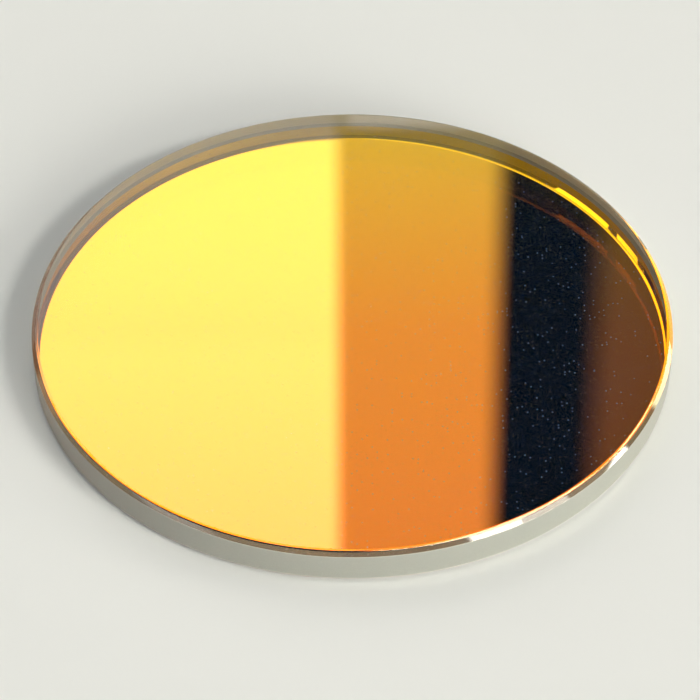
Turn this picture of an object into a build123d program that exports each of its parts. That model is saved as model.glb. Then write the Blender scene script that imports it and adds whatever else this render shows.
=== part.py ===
from build123d import *

import os

os.makedirs("parts", exist_ok=True)

# A flat round watch crystal: a mineral glass disc with a polished bevelled rim and a ground side wall,
# and the thin mirror coating on its underside.
# Millimetres, +Z up. The origin is the centre of the underside, on which the crystal rests.

# The crystal as it is ordered, coating included
crystal_diameter = 34.0
crystal_height = 2.0

# Edges of the glass disc, both bevelled at 45 degrees
top_bevel = 0.24
shoulder_radius = 0.24  # rounding that the polishing leaves between the top face and its bevel
bottom_bevel = 0.2

# Mirror coating. The real film is thinner than a micrometre, so this is a thickness that a solid can have
coating_thickness = 0.02

# Sizes that follow from those
crystal_radius = crystal_diameter / 2
glass_thickness = crystal_height - coating_thickness
underside_radius = crystal_radius - bottom_bevel

# The coating covers the flat of the underside, out to the bevel
with BuildPart() as mirror_coating:
    with BuildSketch(Plane.XY):
        Circle(underside_radius)
    extrude(amount=coating_thickness)

mirror_coating.part.label = "mirror_coating"
export_step(mirror_coating.part, "parts/mirror_coating.step")

# The glass disc is a blank cut to diameter, then bevelled at both edges, then polished on top
with BuildPart() as crystal_disc:
    with BuildSketch(Plane.XY.offset(coating_thickness)):
        Circle(crystal_radius)
    extrude(amount=glass_thickness)
    underside = crystal_disc.faces().sort_by(Axis.Z).first
    chamfer(underside.edges(), length=bottom_bevel)
    top_face = crystal_disc.faces().sort_by(Axis.Z).last
    chamfer(top_face.edges(), length=top_bevel)
    polished_face = crystal_disc.faces().sort_by(Axis.Z).last
    fillet(polished_face.edges(), radius=shoulder_radius)

crystal_disc.part.label = "crystal_disc"
export_step(crystal_disc.part, "parts/crystal_disc.step")

for piece in (mirror_coating.part, crystal_disc.part):
    corner = piece.bounding_box()
    print(piece.label, "volume", round(piece.volume, 2), "from", corner.min, "to", corner.max)
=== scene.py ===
import math

import bpy
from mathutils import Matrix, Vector


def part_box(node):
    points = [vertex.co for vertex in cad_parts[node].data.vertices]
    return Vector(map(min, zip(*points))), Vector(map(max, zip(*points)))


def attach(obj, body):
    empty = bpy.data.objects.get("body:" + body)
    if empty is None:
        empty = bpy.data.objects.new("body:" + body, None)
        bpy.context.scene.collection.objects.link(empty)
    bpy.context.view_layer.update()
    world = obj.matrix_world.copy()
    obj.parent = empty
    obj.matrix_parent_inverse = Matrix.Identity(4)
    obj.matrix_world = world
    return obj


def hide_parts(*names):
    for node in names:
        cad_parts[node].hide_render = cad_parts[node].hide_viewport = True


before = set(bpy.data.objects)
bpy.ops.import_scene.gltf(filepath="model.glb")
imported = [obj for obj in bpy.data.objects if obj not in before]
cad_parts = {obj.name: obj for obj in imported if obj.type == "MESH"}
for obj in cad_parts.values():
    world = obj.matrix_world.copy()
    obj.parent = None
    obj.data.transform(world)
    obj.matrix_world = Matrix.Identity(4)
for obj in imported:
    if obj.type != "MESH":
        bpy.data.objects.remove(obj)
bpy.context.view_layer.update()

# A flat round watch crystal: a mineral glass disc with a mirror film on its underside.
# Blender works in metres here, and the dictionaries give sizes in millimetres.
mm = 0.001
print("frame loaded")


# Small helpers

def toLinear(hexColour, alpha=1.0):
    channels = [int(hexColour[i:i + 2], 16) / 255 for i in (1, 3, 5)]
    linear = [c / 12.92 if c <= 0.04045 else ((c + 0.055) / 1.055) ** 2.4 for c in channels]
    return (*linear, alpha)


def addNode(tree, kind, inputs=None, **settings):
    # adds one node, sets its options, and fills each named socket with a value or a link
    node = tree.nodes.new(kind)
    for name, value in settings.items():
        setattr(node, name, value)
    for name, value in (inputs or {}).items():
        if isinstance(value, bpy.types.NodeSocket):
            tree.links.new(value, node.inputs[name])
        else:
            node.inputs[name].default_value = value
    return node


def newMaterial(name):
    material = bpy.data.materials.new(name)
    material.use_nodes = True
    material.node_tree.nodes.clear()
    return material, material.node_tree


def deselectAll():
    for thing in bpy.context.selected_objects:
        thing.select_set(False)


def makeOnly(thing):
    deselectAll()
    thing.select_set(True)
    bpy.context.view_layer.objects.active = thing


# Camera: the photograph's angle, with a long lens

cameraView = {
    "lens": 156.7,
    "sensor": 36,
    "distance": 163.23,     # from the middle of the underside
    "elevation": 43.94,     # degrees above the table
    "aim": (-0.12, -0.25, -0.26),
    "roll": -0.08,          # degrees
    "nearest": 5,           # nothing closer than this shows, and nothing past the farthest
    "farthest": 6000,
}


def makeCamera():
    lift = math.radians(cameraView["elevation"])
    back = Vector((0, -math.cos(lift), math.sin(lift)))
    place = back * cameraView["distance"] * mm
    aim = Vector(cameraView["aim"]) * mm
    bpy.ops.object.camera_add(location=place)
    camera = bpy.context.object
    camera.name = "studioCamera"
    turn = (aim - place).to_track_quat("-Z", "Y").to_euler()
    turn.rotate_axis("Z", math.radians(cameraView["roll"]))
    camera.rotation_euler = turn
    camera.data.sensor_width = cameraView["sensor"]
    camera.data.lens = cameraView["lens"]
    camera.data.clip_start = cameraView["nearest"] * mm
    camera.data.clip_end = cameraView["farthest"] * mm
    bpy.context.scene.camera = camera


makeCamera()
print("camera placed")


# Mineral glass disc

crystal = {
    "segments": 360,
    "topBevel": 0.24,         # legs of the 45 degree bevel
    "shoulderWidth": 0.0994,  # how far the polished rounding, 0.24 in radius, reaches along face and bevel
    "shoulderSteps": 14,
    "bottomBevel": 0.2,
}
sharpAngle = math.radians(30)    # edges sharper than this stay sharp in the shading


def selectRing(mesh, height, radius, slack=0.01 * mm):
    # picks the edges that lie on one circle round the disc
    for vertex in mesh.vertices:
        vertex.select = False
    for face in mesh.polygons:
        face.select = False
    for edge in mesh.edges:
        ends = [mesh.vertices[i].co for i in edge.vertices]
        edge.select = all(
            abs(end.z - height) < slack and abs(math.hypot(end.x, end.y) - radius) < slack for end in ends
        )


def bevelRing(disc, height, radius, width, steps):
    selectRing(disc.data, height, radius)
    bpy.ops.object.mode_set(mode="EDIT")
    bpy.ops.mesh.select_mode(type="EDGE")
    bpy.ops.mesh.bevel(offset=width, offset_type="OFFSET", segments=steps, profile=0.5, affect="EDGES")
    bpy.ops.object.mode_set(mode="OBJECT")


def makeCrystalDisc():
    low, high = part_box("crystal_disc")
    radius = high.x
    deselectAll()
    bpy.ops.mesh.primitive_cylinder_add(
        vertices=crystal["segments"], radius=radius, depth=high.z - low.z, location=(0, 0, (high.z + low.z) / 2)
    )
    disc = bpy.context.object
    disc.name = "crystalGlass"
    bpy.ops.object.transform_apply(location=True, rotation=True, scale=True)
    # edges are picked in code below, and edit mode keeps them only once it is in edge mode
    bpy.ops.object.mode_set(mode="EDIT")
    bpy.ops.mesh.select_mode(type="EDGE")
    bpy.ops.mesh.select_all(action="DESELECT")
    bpy.ops.object.mode_set(mode="OBJECT")
    topBevel = crystal["topBevel"] * mm
    bevelRing(disc, low.z, radius, crystal["bottomBevel"] * mm, 1)
    bevelRing(disc, high.z, radius, topBevel, 1)
    bevelRing(disc, high.z, radius - topBevel, crystal["shoulderWidth"] * mm, crystal["shoulderSteps"])
    makeOnly(disc)
    bpy.ops.object.shade_smooth_by_angle(angle=sharpAngle)
    weigh = disc.modifiers.new("weigh normals", "WEIGHTED_NORMAL")
    weigh.keep_sharp = True
    weigh.weight = 100
    bpy.ops.object.modifier_apply(modifier=weigh.name)
    return disc


# Mirror film

film = {
    "gap": 0.002,       # between the film and the glass, so that their faces don't meet
    "feather": 0.05,    # the film thins out over this width at its edge
}


def makeMirrorFilm():
    low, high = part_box("mirror_coating")
    depth = high.z - low.z - film["gap"] * mm
    deselectAll()
    bpy.ops.mesh.primitive_cylinder_add(
        vertices=crystal["segments"], radius=high.x, depth=depth, location=(0, 0, low.z + depth / 2)
    )
    coating = bpy.context.object
    coating.name = "mirrorFilm"
    bpy.ops.object.transform_apply(location=True, rotation=True, scale=True)
    bpy.ops.object.mode_set(mode="EDIT")
    bpy.ops.mesh.select_mode(type="FACE")
    bpy.ops.mesh.select_all(action="DESELECT")
    bpy.ops.object.mode_set(mode="OBJECT")
    for face in coating.data.polygons:
        face.select = face.normal.z > 0.9    # only the upper face
    bpy.ops.object.mode_set(mode="EDIT")
    bpy.ops.mesh.inset(thickness=film["feather"] * mm)
    bpy.ops.object.mode_set(mode="OBJECT")
    # the rim of the upper face drops to half the film's depth
    rim = high.x - film["feather"] * mm / 2
    for vertex in coating.data.vertices:
        if vertex.co.z > low.z + depth / 2 and math.hypot(vertex.co.x, vertex.co.y) > rim:
            vertex.co.z -= depth / 2
    makeOnly(coating)
    bpy.ops.object.shade_smooth_by_angle(angle=sharpAngle)
    return coating


# Materials

polish = {
    "tint": "#FBFDFC",
    "ior": 1.59,            # denser than window glass, as the depth of the mirrored rim shows
    "clean": 0.0,           # roughness where the polish is perfect
    "wiped": 0.014,         # and along the faint marks of the last wipe
    "wipeLength": 5.0,      # length and width of such a mark, and the way it runs in degrees
    "wipeWidth": 1.0,
    "wipeTurn": 35,
}


def polishedGlass():
    # Mineral glass, lapped and polished: clear, with a sharp sheen on the face and bright lines along its bevel
    material, tree = newMaterial("polishedMineralGlass")
    place = addNode(tree, "ShaderNodeTexCoord")
    wipe = addNode(tree, "ShaderNodeMapping", {
        "Vector": place.outputs["Object"], "Rotation": (0, 0, math.radians(polish["wipeTurn"])),
        "Scale": (polish["wipeWidth"] / polish["wipeLength"], 1, 1),
    })
    smears = addNode(tree, "ShaderNodeTexNoise", {
        "Vector": wipe.outputs["Vector"], "Scale": 1 / (polish["wipeWidth"] * mm), "Detail": 4.0, "Roughness": 0.6,
    })
    # only the denser half of the noise leaves a mark
    haze = addNode(tree, "ShaderNodeMapRange", {
        "Value": smears.outputs["Fac"], "From Min": 0.5, "From Max": 0.75,
        "To Min": polish["clean"], "To Max": polish["wiped"],
    })
    glass = addNode(tree, "ShaderNodeBsdfPrincipled", {
        "Base Color": toLinear(polish["tint"]), "Roughness": haze.outputs["Result"],
        "IOR": polish["ior"], "Transmission Weight": 1.0,
    })
    addNode(tree, "ShaderNodeOutputMaterial", {"Surface": glass.outputs["BSDF"]})
    return material


lapped = {
    # painted reflection: the lap's scatter is tinted the gold that the film reflects
    "tone": "#F0C488",
    "share": 0.13,          # share of the light that the fine marks of the lap scatter
    "roughness": 0.02,
}


def lappedGlass():
    # The bevel, lapped and only lightly polished: as clear as the face. The fine marks of the lap scatter some light,
    # and that scatter is painted the gold of the film as a painted reflection of it
    material, tree = newMaterial("lappedMineralGlass")
    glass = addNode(tree, "ShaderNodeBsdfPrincipled", {
        "Base Color": toLinear(polish["tint"]), "Roughness": lapped["roughness"],
        "IOR": polish["ior"], "Transmission Weight": 1.0,
    })
    paintedGoldBloom = addNode(tree, "ShaderNodeBsdfDiffuse", {"Color": toLinear(lapped["tone"])})
    both = addNode(tree, "ShaderNodeMixShader", {
        0: lapped["share"], 1: glass.outputs["BSDF"], 2: paintedGoldBloom.outputs["BSDF"],
    })
    addNode(tree, "ShaderNodeOutputMaterial", {"Surface": both.outputs["Shader"]})
    return material


ground = {
    "pale": "#A8ACA3",
    "dull": "#90948B",
    "edge": "#CCCCC0",      # painted highlight: the wall is painted this paler colour along its top and bottom edges
    "paintedHighlightWidth": 0.07,
    "roughness": 0.5,
    "grit": 0.08,           # size of the grinding marks. Real ones are about 0.02, too fine to show
    "gritFlat": 3,          # the wheel leaves them this many times as long as they are high
    "gritDepth": 0.004,
    "gritRelief": 0.5,
    "through": 0.2,         # share of the light that goes on into the glass, bent as by a rough pane
    "scatter": 0.05,        # share that the wall lets through as a white glow
    "glow": "#D3E2EE",
    "shaded": "#77746A",    # painted shade: the bottom bevel is painted this darker grey
}


def groundGlass():
    # The same glass left as the grinding wheel leaves it: a frosted, silky grey white that glows where light leaves it
    material, tree = newMaterial("groundMineralGlass")
    place = addNode(tree, "ShaderNodeTexCoord")
    stretched = addNode(tree, "ShaderNodeMapping", {
        "Vector": place.outputs["Object"], "Scale": (1, 1, ground["gritFlat"]),
    })
    marks = addNode(tree, "ShaderNodeTexNoise", {
        "Vector": stretched.outputs["Vector"], "Scale": 1 / (ground["grit"] * mm), "Detail": 3.0,
    })
    mix = addNode(tree, "ShaderNodeMix", {
        "Factor": marks.outputs["Fac"], "A": toLinear(ground["dull"]), "B": toLinear(ground["pale"]),
    }, data_type="RGBA")
    # how far from the middle of the wall's height a point is, and from there how much of the painted edge highlight it
    # takes
    axes = addNode(tree, "ShaderNodeSeparateXYZ", {"Vector": place.outputs["Object"]})
    lowCorner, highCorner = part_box("crystal_disc")
    low = lowCorner.z + crystal["bottomBevel"] * mm
    high = highCorner.z - crystal["topBevel"] * mm
    away = addNode(tree, "ShaderNodeMath", {0: axes.outputs["Z"], 1: (low + high) / 2}, operation="SUBTRACT")
    either = addNode(tree, "ShaderNodeMath", {0: away.outputs[0]}, operation="ABSOLUTE")
    paintedEdgeHighlight = addNode(tree, "ShaderNodeMapRange", {
        "Value": either.outputs[0],
        "From Min": (high - low) / 2 - ground["paintedHighlightWidth"] * mm, "From Max": (high - low) / 2,
    }, interpolation_type="SMOOTHSTEP")
    # painted highlight: the wall's colour turns paler towards its top and bottom edges
    tone = addNode(tree, "ShaderNodeMix", {
        "Factor": paintedEdgeHighlight.outputs["Result"], "A": mix.outputs["Result"], "B": toLinear(ground["edge"]),
    }, data_type="RGBA")
    bump = addNode(tree, "ShaderNodeBump", {
        "Height": marks.outputs["Fac"], "Distance": ground["gritDepth"] * mm, "Strength": ground["gritRelief"],
    })
    glass = addNode(tree, "ShaderNodeBsdfPrincipled", {
        "Base Color": tone.outputs["Result"], "Roughness": ground["roughness"],
        "IOR": polish["ior"], "Transmission Weight": ground["through"], "Normal": bump.outputs["Normal"],
    })
    glow = addNode(tree, "ShaderNodeBsdfTranslucent", {
        "Color": toLinear(ground["glow"]), "Normal": bump.outputs["Normal"],
    })
    both = addNode(tree, "ShaderNodeMixShader", {
        0: ground["scatter"], 1: glass.outputs["BSDF"], 2: glow.outputs["BSDF"],
    })
    addNode(tree, "ShaderNodeOutputMaterial", {"Surface": both.outputs["Shader"]})
    return material


mirror = {
    "front": "#FF8A00",     # the film's colour is painted along the disc, from orange at the front to yellow at the rear
    "middle": "#FF9D00",
    "rear": "#F6CB1C",
    "roughness": 0.0,
    "haze": 0.1,            # share of the light that the film and the glass behind it scatter
    "hazeColour": "#3C6194",
    "speckSpacing": 0.26,   # pinholes and dust under the glass
    "speckSize": 0.075,     # real ones are about 0.03, too fine to show
    "speckCore": 0.4,       # the even middle of a speck, as a share of its size
    "speckless": 0.35,      # share of the cells that hold none
    "speckHaze": 0.23,
    "speckColour": "#B9CBE6",
}


def goldMirror():
    # A vacuum-coated mirror film: bright yellow gold to orange where it mirrors light, blue-black where it mirrors none
    material, tree = newMaterial("vacuumCoatedGoldMirror")
    place = addNode(tree, "ShaderNodeTexCoord")
    axes = addNode(tree, "ShaderNodeSeparateXYZ", {"Vector": place.outputs["Object"]})
    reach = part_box("mirror_coating")[1].y
    across = addNode(tree, "ShaderNodeMapRange", {
        "Value": axes.outputs["Y"], "From Min": -reach, "From Max": reach,
    })
    shade = addNode(tree, "ShaderNodeValToRGB", {"Fac": across.outputs["Result"]})
    ramp = shade.color_ramp
    ramp.elements[0].color = toLinear(mirror["front"])
    ramp.elements[1].color = toLinear(mirror["rear"])
    ramp.elements.new(0.5).color = toLinear(mirror["middle"])
    metal = addNode(tree, "ShaderNodeBsdfPrincipled", {
        "Base Color": shade.outputs["Color"], "Metallic": 1.0, "Roughness": mirror["roughness"],
    })
    # one speck near the middle of each cell, from hardly there to full size
    cells = addNode(tree, "ShaderNodeTexVoronoi", {
        "Vector": place.outputs["Object"], "Scale": 1 / (mirror["speckSpacing"] * mm),
    }, voronoi_dimensions="2D")
    dots = addNode(tree, "ShaderNodeMapRange", {
        "Value": cells.outputs["Distance"], "From Min": mirror["speckSize"] / mirror["speckSpacing"],
        "From Max": mirror["speckCore"] * mirror["speckSize"] / mirror["speckSpacing"],
    })
    random = addNode(tree, "ShaderNodeSeparateXYZ", {"Vector": cells.outputs["Color"]})
    chosen = addNode(tree, "ShaderNodeMapRange", {
        "Value": random.outputs["X"], "From Min": mirror["speckless"], "From Max": 1.0,
    })
    specks = addNode(tree, "ShaderNodeMath", {
        0: dots.outputs["Result"], 1: chosen.outputs["Result"],
    }, operation="MULTIPLY")
    share = addNode(tree, "ShaderNodeMapRange", {
        "Value": specks.outputs[0], "To Min": mirror["haze"], "To Max": mirror["speckHaze"],
    })
    tone = addNode(tree, "ShaderNodeMix", {
        "Factor": specks.outputs[0], "A": toLinear(mirror["hazeColour"]), "B": toLinear(mirror["speckColour"]),
    }, data_type="RGBA")
    haze = addNode(tree, "ShaderNodeBsdfDiffuse", {"Color": tone.outputs["Result"]})
    both = addNode(tree, "ShaderNodeMixShader", {
        0: share.outputs["Result"], 1: metal.outputs["BSDF"], 2: haze.outputs["BSDF"],
    })
    addNode(tree, "ShaderNodeOutputMaterial", {"Surface": both.outputs["Shader"]})
    return material


def shadedGlass():
    # Ground glass painted a dull, darker grey as painted shade: it shows as a thin dark line through the disc
    material, tree = newMaterial("paintedShadeGroundGlass")
    place = addNode(tree, "ShaderNodeTexCoord")
    marks = addNode(tree, "ShaderNodeTexNoise", {
        "Vector": place.outputs["Object"], "Scale": 1 / (ground["grit"] * mm), "Detail": 3.0,
    })
    # painted shade: the grit is mixed from the darker shaded grey instead of the pale one
    tone = addNode(tree, "ShaderNodeMix", {
        "Factor": marks.outputs["Fac"], "A": toLinear(ground["shaded"]), "B": toLinear(ground["dull"]),
    }, data_type="RGBA")
    glass = addNode(tree, "ShaderNodeBsdfPrincipled", {
        "Base Color": tone.outputs["Result"], "Roughness": ground["roughness"], "IOR": polish["ior"],
    })
    addNode(tree, "ShaderNodeOutputMaterial", {"Surface": glass.outputs["BSDF"]})
    return material


glassDisc = makeCrystalDisc()
mirrorFilm = makeMirrorFilm()
print("disc and film modelled")


facing = {                  # a disc face gets its finish by its normal's height, from 1 at the top to -1 underneath
    "face": 0.72,           # the top and its rounding. The bevel's normal is just under, at 0.707
    "bevel": 0.3,
    "wall": -0.3,
    "lowerBevel": -0.9,
}


def dressCrystal():
    for material in (polishedGlass(), groundGlass(), goldMirror(), shadedGlass(), lappedGlass()):
        glassDisc.data.materials.append(material)
    polished, frosted, coated, shaded, bevelled = range(5)
    for face in glassDisc.data.polygons:
        if face.normal.z > facing["face"]:
            face.material_index = polished
        elif face.normal.z > facing["bevel"]:
            face.material_index = bevelled
        elif face.normal.z > facing["wall"]:
            face.material_index = frosted
        elif face.normal.z > facing["lowerBevel"]:
            face.material_index = shaded
        else:
            face.material_index = coated
    mirrorFilm.data.materials.append(glassDisc.data.materials[coated])
    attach(glassDisc, "root")
    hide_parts("crystal_disc")
    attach(mirrorFilm, "root")
    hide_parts("mirror_coating")


dressCrystal()
print("materials assigned")


# Studio: a pale table, a soft wall of light behind on the left, dim and dark screens behind on the right, and lamps
# and panels round the front and sides, which the bevel, the side wall and the glass behind them catch

table = {
    "colour": "#E6E6E3",
    "roughness": 0.8,
    "width": 8000,
    "drop": 0.01,     # the table lies this far under the film
}


def makeTable():
    # A table top in flat paint: it takes soft shadows and mirrors nothing
    deselectAll()
    bpy.ops.mesh.primitive_plane_add(size=table["width"] * mm, location=(0, 0, -table["drop"] * mm))
    top = bpy.context.object
    top.name = "studioTable"
    material, tree = newMaterial("palePaintedTable")
    paint = addNode(tree, "ShaderNodeBsdfPrincipled", {
        "Base Color": toLinear(table["colour"]), "Roughness": table["roughness"], "Specular IOR Level": 0.0,
    })
    addNode(tree, "ShaderNodeOutputMaterial", {"Surface": paint.outputs["BSDF"]})
    top.data.materials.append(material)


# Soft-edged light panels. Turn is the way a panel stands, in degrees from straight behind towards the right, and lean
# is how far its face tips down. Its strength is even, or rises to topStrength between two heights along it. Most are
# white. Three keys limit what a panel does:
# lights False: it shows as a reflection, but throws no light or shadow on matt surfaces
# mirrored False: it only throws light, and neither a reflection nor the glass shows it
# through False: the outer surfaces reflect it, but it doesn't show through the glass or in the film
panelWhite = "#FFFDF4"
screens = {
    "keySoftbox": {
        "middle": (-706.7, 959.2, 656.7), "turn": 0, "lean": 14, "size": (1400, 848), "edge": 11,
        "strength": 1.95, "topStrength": 2.75, "from": 124, "to": 234,
    },
    "keyUpperMiddle": {
        "middle": (-231, 802, 1273), "turn": 0, "lean": 14, "size": (448, 400), "edge": 11, "strength": 1.2,
    },
    "keyUpperLeft": {
        "middle": (-475, 642, 1270), "turn": -36.5, "lean": 57.85, "size": (265, 202), "edge": 6, "strength": 3.7,
    },
    "keyUpperFarLeft": {
        "middle": (-736, 711, 1097), "turn": -46, "lean": 47, "size": (288, 238), "edge": 6, "strength": 3.7,
    },
    "keyLowerRight": {
        "middle": (122, 880, 560), "turn": 0, "lean": 0, "size": (248, 328), "edge": 10, "strength": 3.0,
    },
    "middleScreen": {
        "middle": (2.5, 845.7, 1143.8), "turn": 0, "lean": 14, "size": (130, 792), "edge": 16,
        "colour": "#FFEFA0", "strength": 0.93,
    },
    "dimScreen": {
        "middle": (515.6, 918, 880), "turn": 0, "lean": 14, "size": (800, 1340), "edge": 21,
        "colour": "#FFF4D0", "strength": 0.15,
    },
    "darkScreen": {
        "middle": (455, 925, 884), "turn": 0, "lean": 14, "size": (950, 1360), "edge": 5, "strength": 0.0,
    },
    "frontRightLamp": {
        "middle": (746, -593, 710), "turn": 128.5, "lean": 36.7, "size": (370, 165), "edge": 43, "strength": 28.0,
    },
    "frontRightGap": {
        "middle": (888, -453, 648), "turn": 117, "lean": 33, "size": (382, 230), "edge": 30,
        "strength": 11.0, "lights": False,
    },
    "frontRightPanel": {
        "middle": (880, -560, 660), "turn": 122, "lean": 32, "size": (1500, 460), "edge": 260, "strength": 1.6,
    },
    "frontRightLowPanel": {
        "middle": (964, -964, 315), "turn": 135, "lean": 13, "size": (1700, 420), "edge": 200,
        "strength": 0.9, "lights": False,
    },
    "lowFrontPanel": {
        "middle": (1364, -1744, 660), "turn": 142, "lean": 16, "size": (1400, 920), "edge": 400,
        "strength": 20.0, "mirrored": False,
    },
    "rightLamp": {
        "middle": (1166, 22, 424), "turn": 89, "lean": 20, "size": (208, 110), "edge": 40, "strength": 25.0,
    },
    "rightPanel": {
        "middle": (1074, 620, 160), "turn": 60, "lean": 7, "size": (400, 310), "edge": 60,
        "colour": "#FFFAD0", "strength": 12.0, "lights": False,
    },
    "highRightPanel": {
        "middle": (779, 450, 868), "turn": 60, "lean": 44, "size": (520, 260), "edge": 80,
        "colour": "#FFFBDC", "strength": 12.0, "lights": False, "through": False,
    },
    "upperRightPanel": {
        "middle": (533, -173, 1100), "turn": 108, "lean": 63, "size": (1000, 700), "edge": 100,
        "colour": "#FFFBDC", "strength": 16.0, "lights": False, "through": False,
    },
    "rightSidePanel": {
        "middle": (1172, 427, 636), "turn": 70, "lean": 27, "size": (1100, 500), "edge": 200,
        "strength": 0.75, "lights": False,
    },
    "ceilingPanel": {
        "middle": (0, -60, 1150), "turn": 0, "lean": 90, "size": (600, 600), "edge": 200,
        "strength": 0.8, "lights": False,
    },
    "leftStrip": {
        "middle": (-830, -479, 647), "turn": -120, "lean": 34, "size": (1000, 150), "edge": 90,
        "strength": 4.0, "lights": False,
    },
    "leftLowPanel": {
        "middle": (-1046, 110, 322), "turn": -84, "lean": 17, "size": (1026, 528), "edge": 120,
        "colour": "#FFE8C0", "strength": 1.9, "lights": False, "through": False,
    },
    "leftFrontPanel": {
        "middle": (-459, -794, 743), "turn": -150, "lean": 39, "size": (1072, 282), "edge": 120,
        "colour": "#FFF0D0", "strength": 2.0, "lights": False, "through": False,
    },
    "leftPanel": {
        "middle": (-1077, -502, 386), "turn": -115, "lean": 18, "size": (1500, 420), "edge": 160,
        "strength": 0.9, "lights": False,
    },
    "frontPanel": {
        "middle": (-100, -1060, 620), "turn": -176, "lean": 30, "size": (1100, 760), "edge": 220,
        "strength": 0.9, "lights": False,
    },
}


def makeScreen(name, screen):
    width, height = screen["size"]
    deselectAll()
    bpy.ops.mesh.primitive_plane_add(size=1)
    sheet = bpy.context.object
    sheet.name = name
    sheet.scale = ((width + screen["edge"]) * mm, (height + screen["edge"]) * mm, 1)
    bpy.ops.object.transform_apply(location=False, rotation=False, scale=True)
    sheet.location = Vector(screen["middle"]) * mm
    sheet.rotation_euler = (math.radians(90 + screen["lean"]), 0, -math.radians(screen["turn"]))
    material, tree = newMaterial(name + "Light")
    place = addNode(tree, "ShaderNodeTexCoord")
    axes = addNode(tree, "ShaderNodeSeparateXYZ", {"Vector": place.outputs["Object"]})
    covers = []
    for axis, length in (("X", width), ("Y", height)):
        away = addNode(tree, "ShaderNodeMath", {0: axes.outputs[axis]}, operation="ABSOLUTE")
        covers.append(addNode(tree, "ShaderNodeMapRange", {
            "Value": away.outputs[0],
            "From Min": (length + screen["edge"]) / 2 * mm, "From Max": (length - screen["edge"]) / 2 * mm,
        }, interpolation_type="SMOOTHSTEP"))
    cover = addNode(tree, "ShaderNodeMath", {
        0: covers[0].outputs["Result"], 1: covers[1].outputs["Result"],
    }, operation="MULTIPLY")
    strength = addNode(tree, "ShaderNodeMapRange", {
        "Value": axes.outputs["Y"],
        "From Min": screen.get("from", -height / 2) * mm, "From Max": screen.get("to", height / 2) * mm,
        "To Min": screen["strength"], "To Max": screen.get("topStrength", screen["strength"]),
    })
    light = addNode(tree, "ShaderNodeEmission", {
        "Color": toLinear(screen.get("colour", panelWhite)), "Strength": strength.outputs["Result"],
    })
    clear = addNode(tree, "ShaderNodeBsdfTransparent")
    both = addNode(tree, "ShaderNodeMixShader", {
        0: cover.outputs[0], 1: clear.outputs["BSDF"], 2: light.outputs["Emission"],
    })
    addNode(tree, "ShaderNodeOutputMaterial", {"Surface": both.outputs["Shader"]})
    sheet.data.materials.append(material)
    lights, mirrored, through = (screen.get(key, True) for key in ("lights", "mirrored", "through"))
    sheet.visible_camera = False
    sheet.visible_diffuse = lights
    sheet.visible_shadow = lights
    sheet.visible_glossy = mirrored
    sheet.visible_transmission = mirrored and through


daylight = {
    "colour": "#DEE9F8",
    "strength": 0.24,
}


def makeDaylight():
    world = bpy.data.worlds.new("paleRoom")
    bpy.context.scene.world = world
    world.use_nodes = True
    world.node_tree.nodes.clear()
    glow = addNode(world.node_tree, "ShaderNodeBackground", {
        "Color": toLinear(daylight["colour"]), "Strength": daylight["strength"],
    })
    addNode(world.node_tree, "ShaderNodeOutputWorld", {"Surface": glow.outputs["Background"]})


makeTable()
for screenName, screenSizes in screens.items():
    makeScreen(screenName, screenSizes)
makeDaylight()
bpy.context.scene.view_settings.view_transform = "Standard"
print("studio set up")
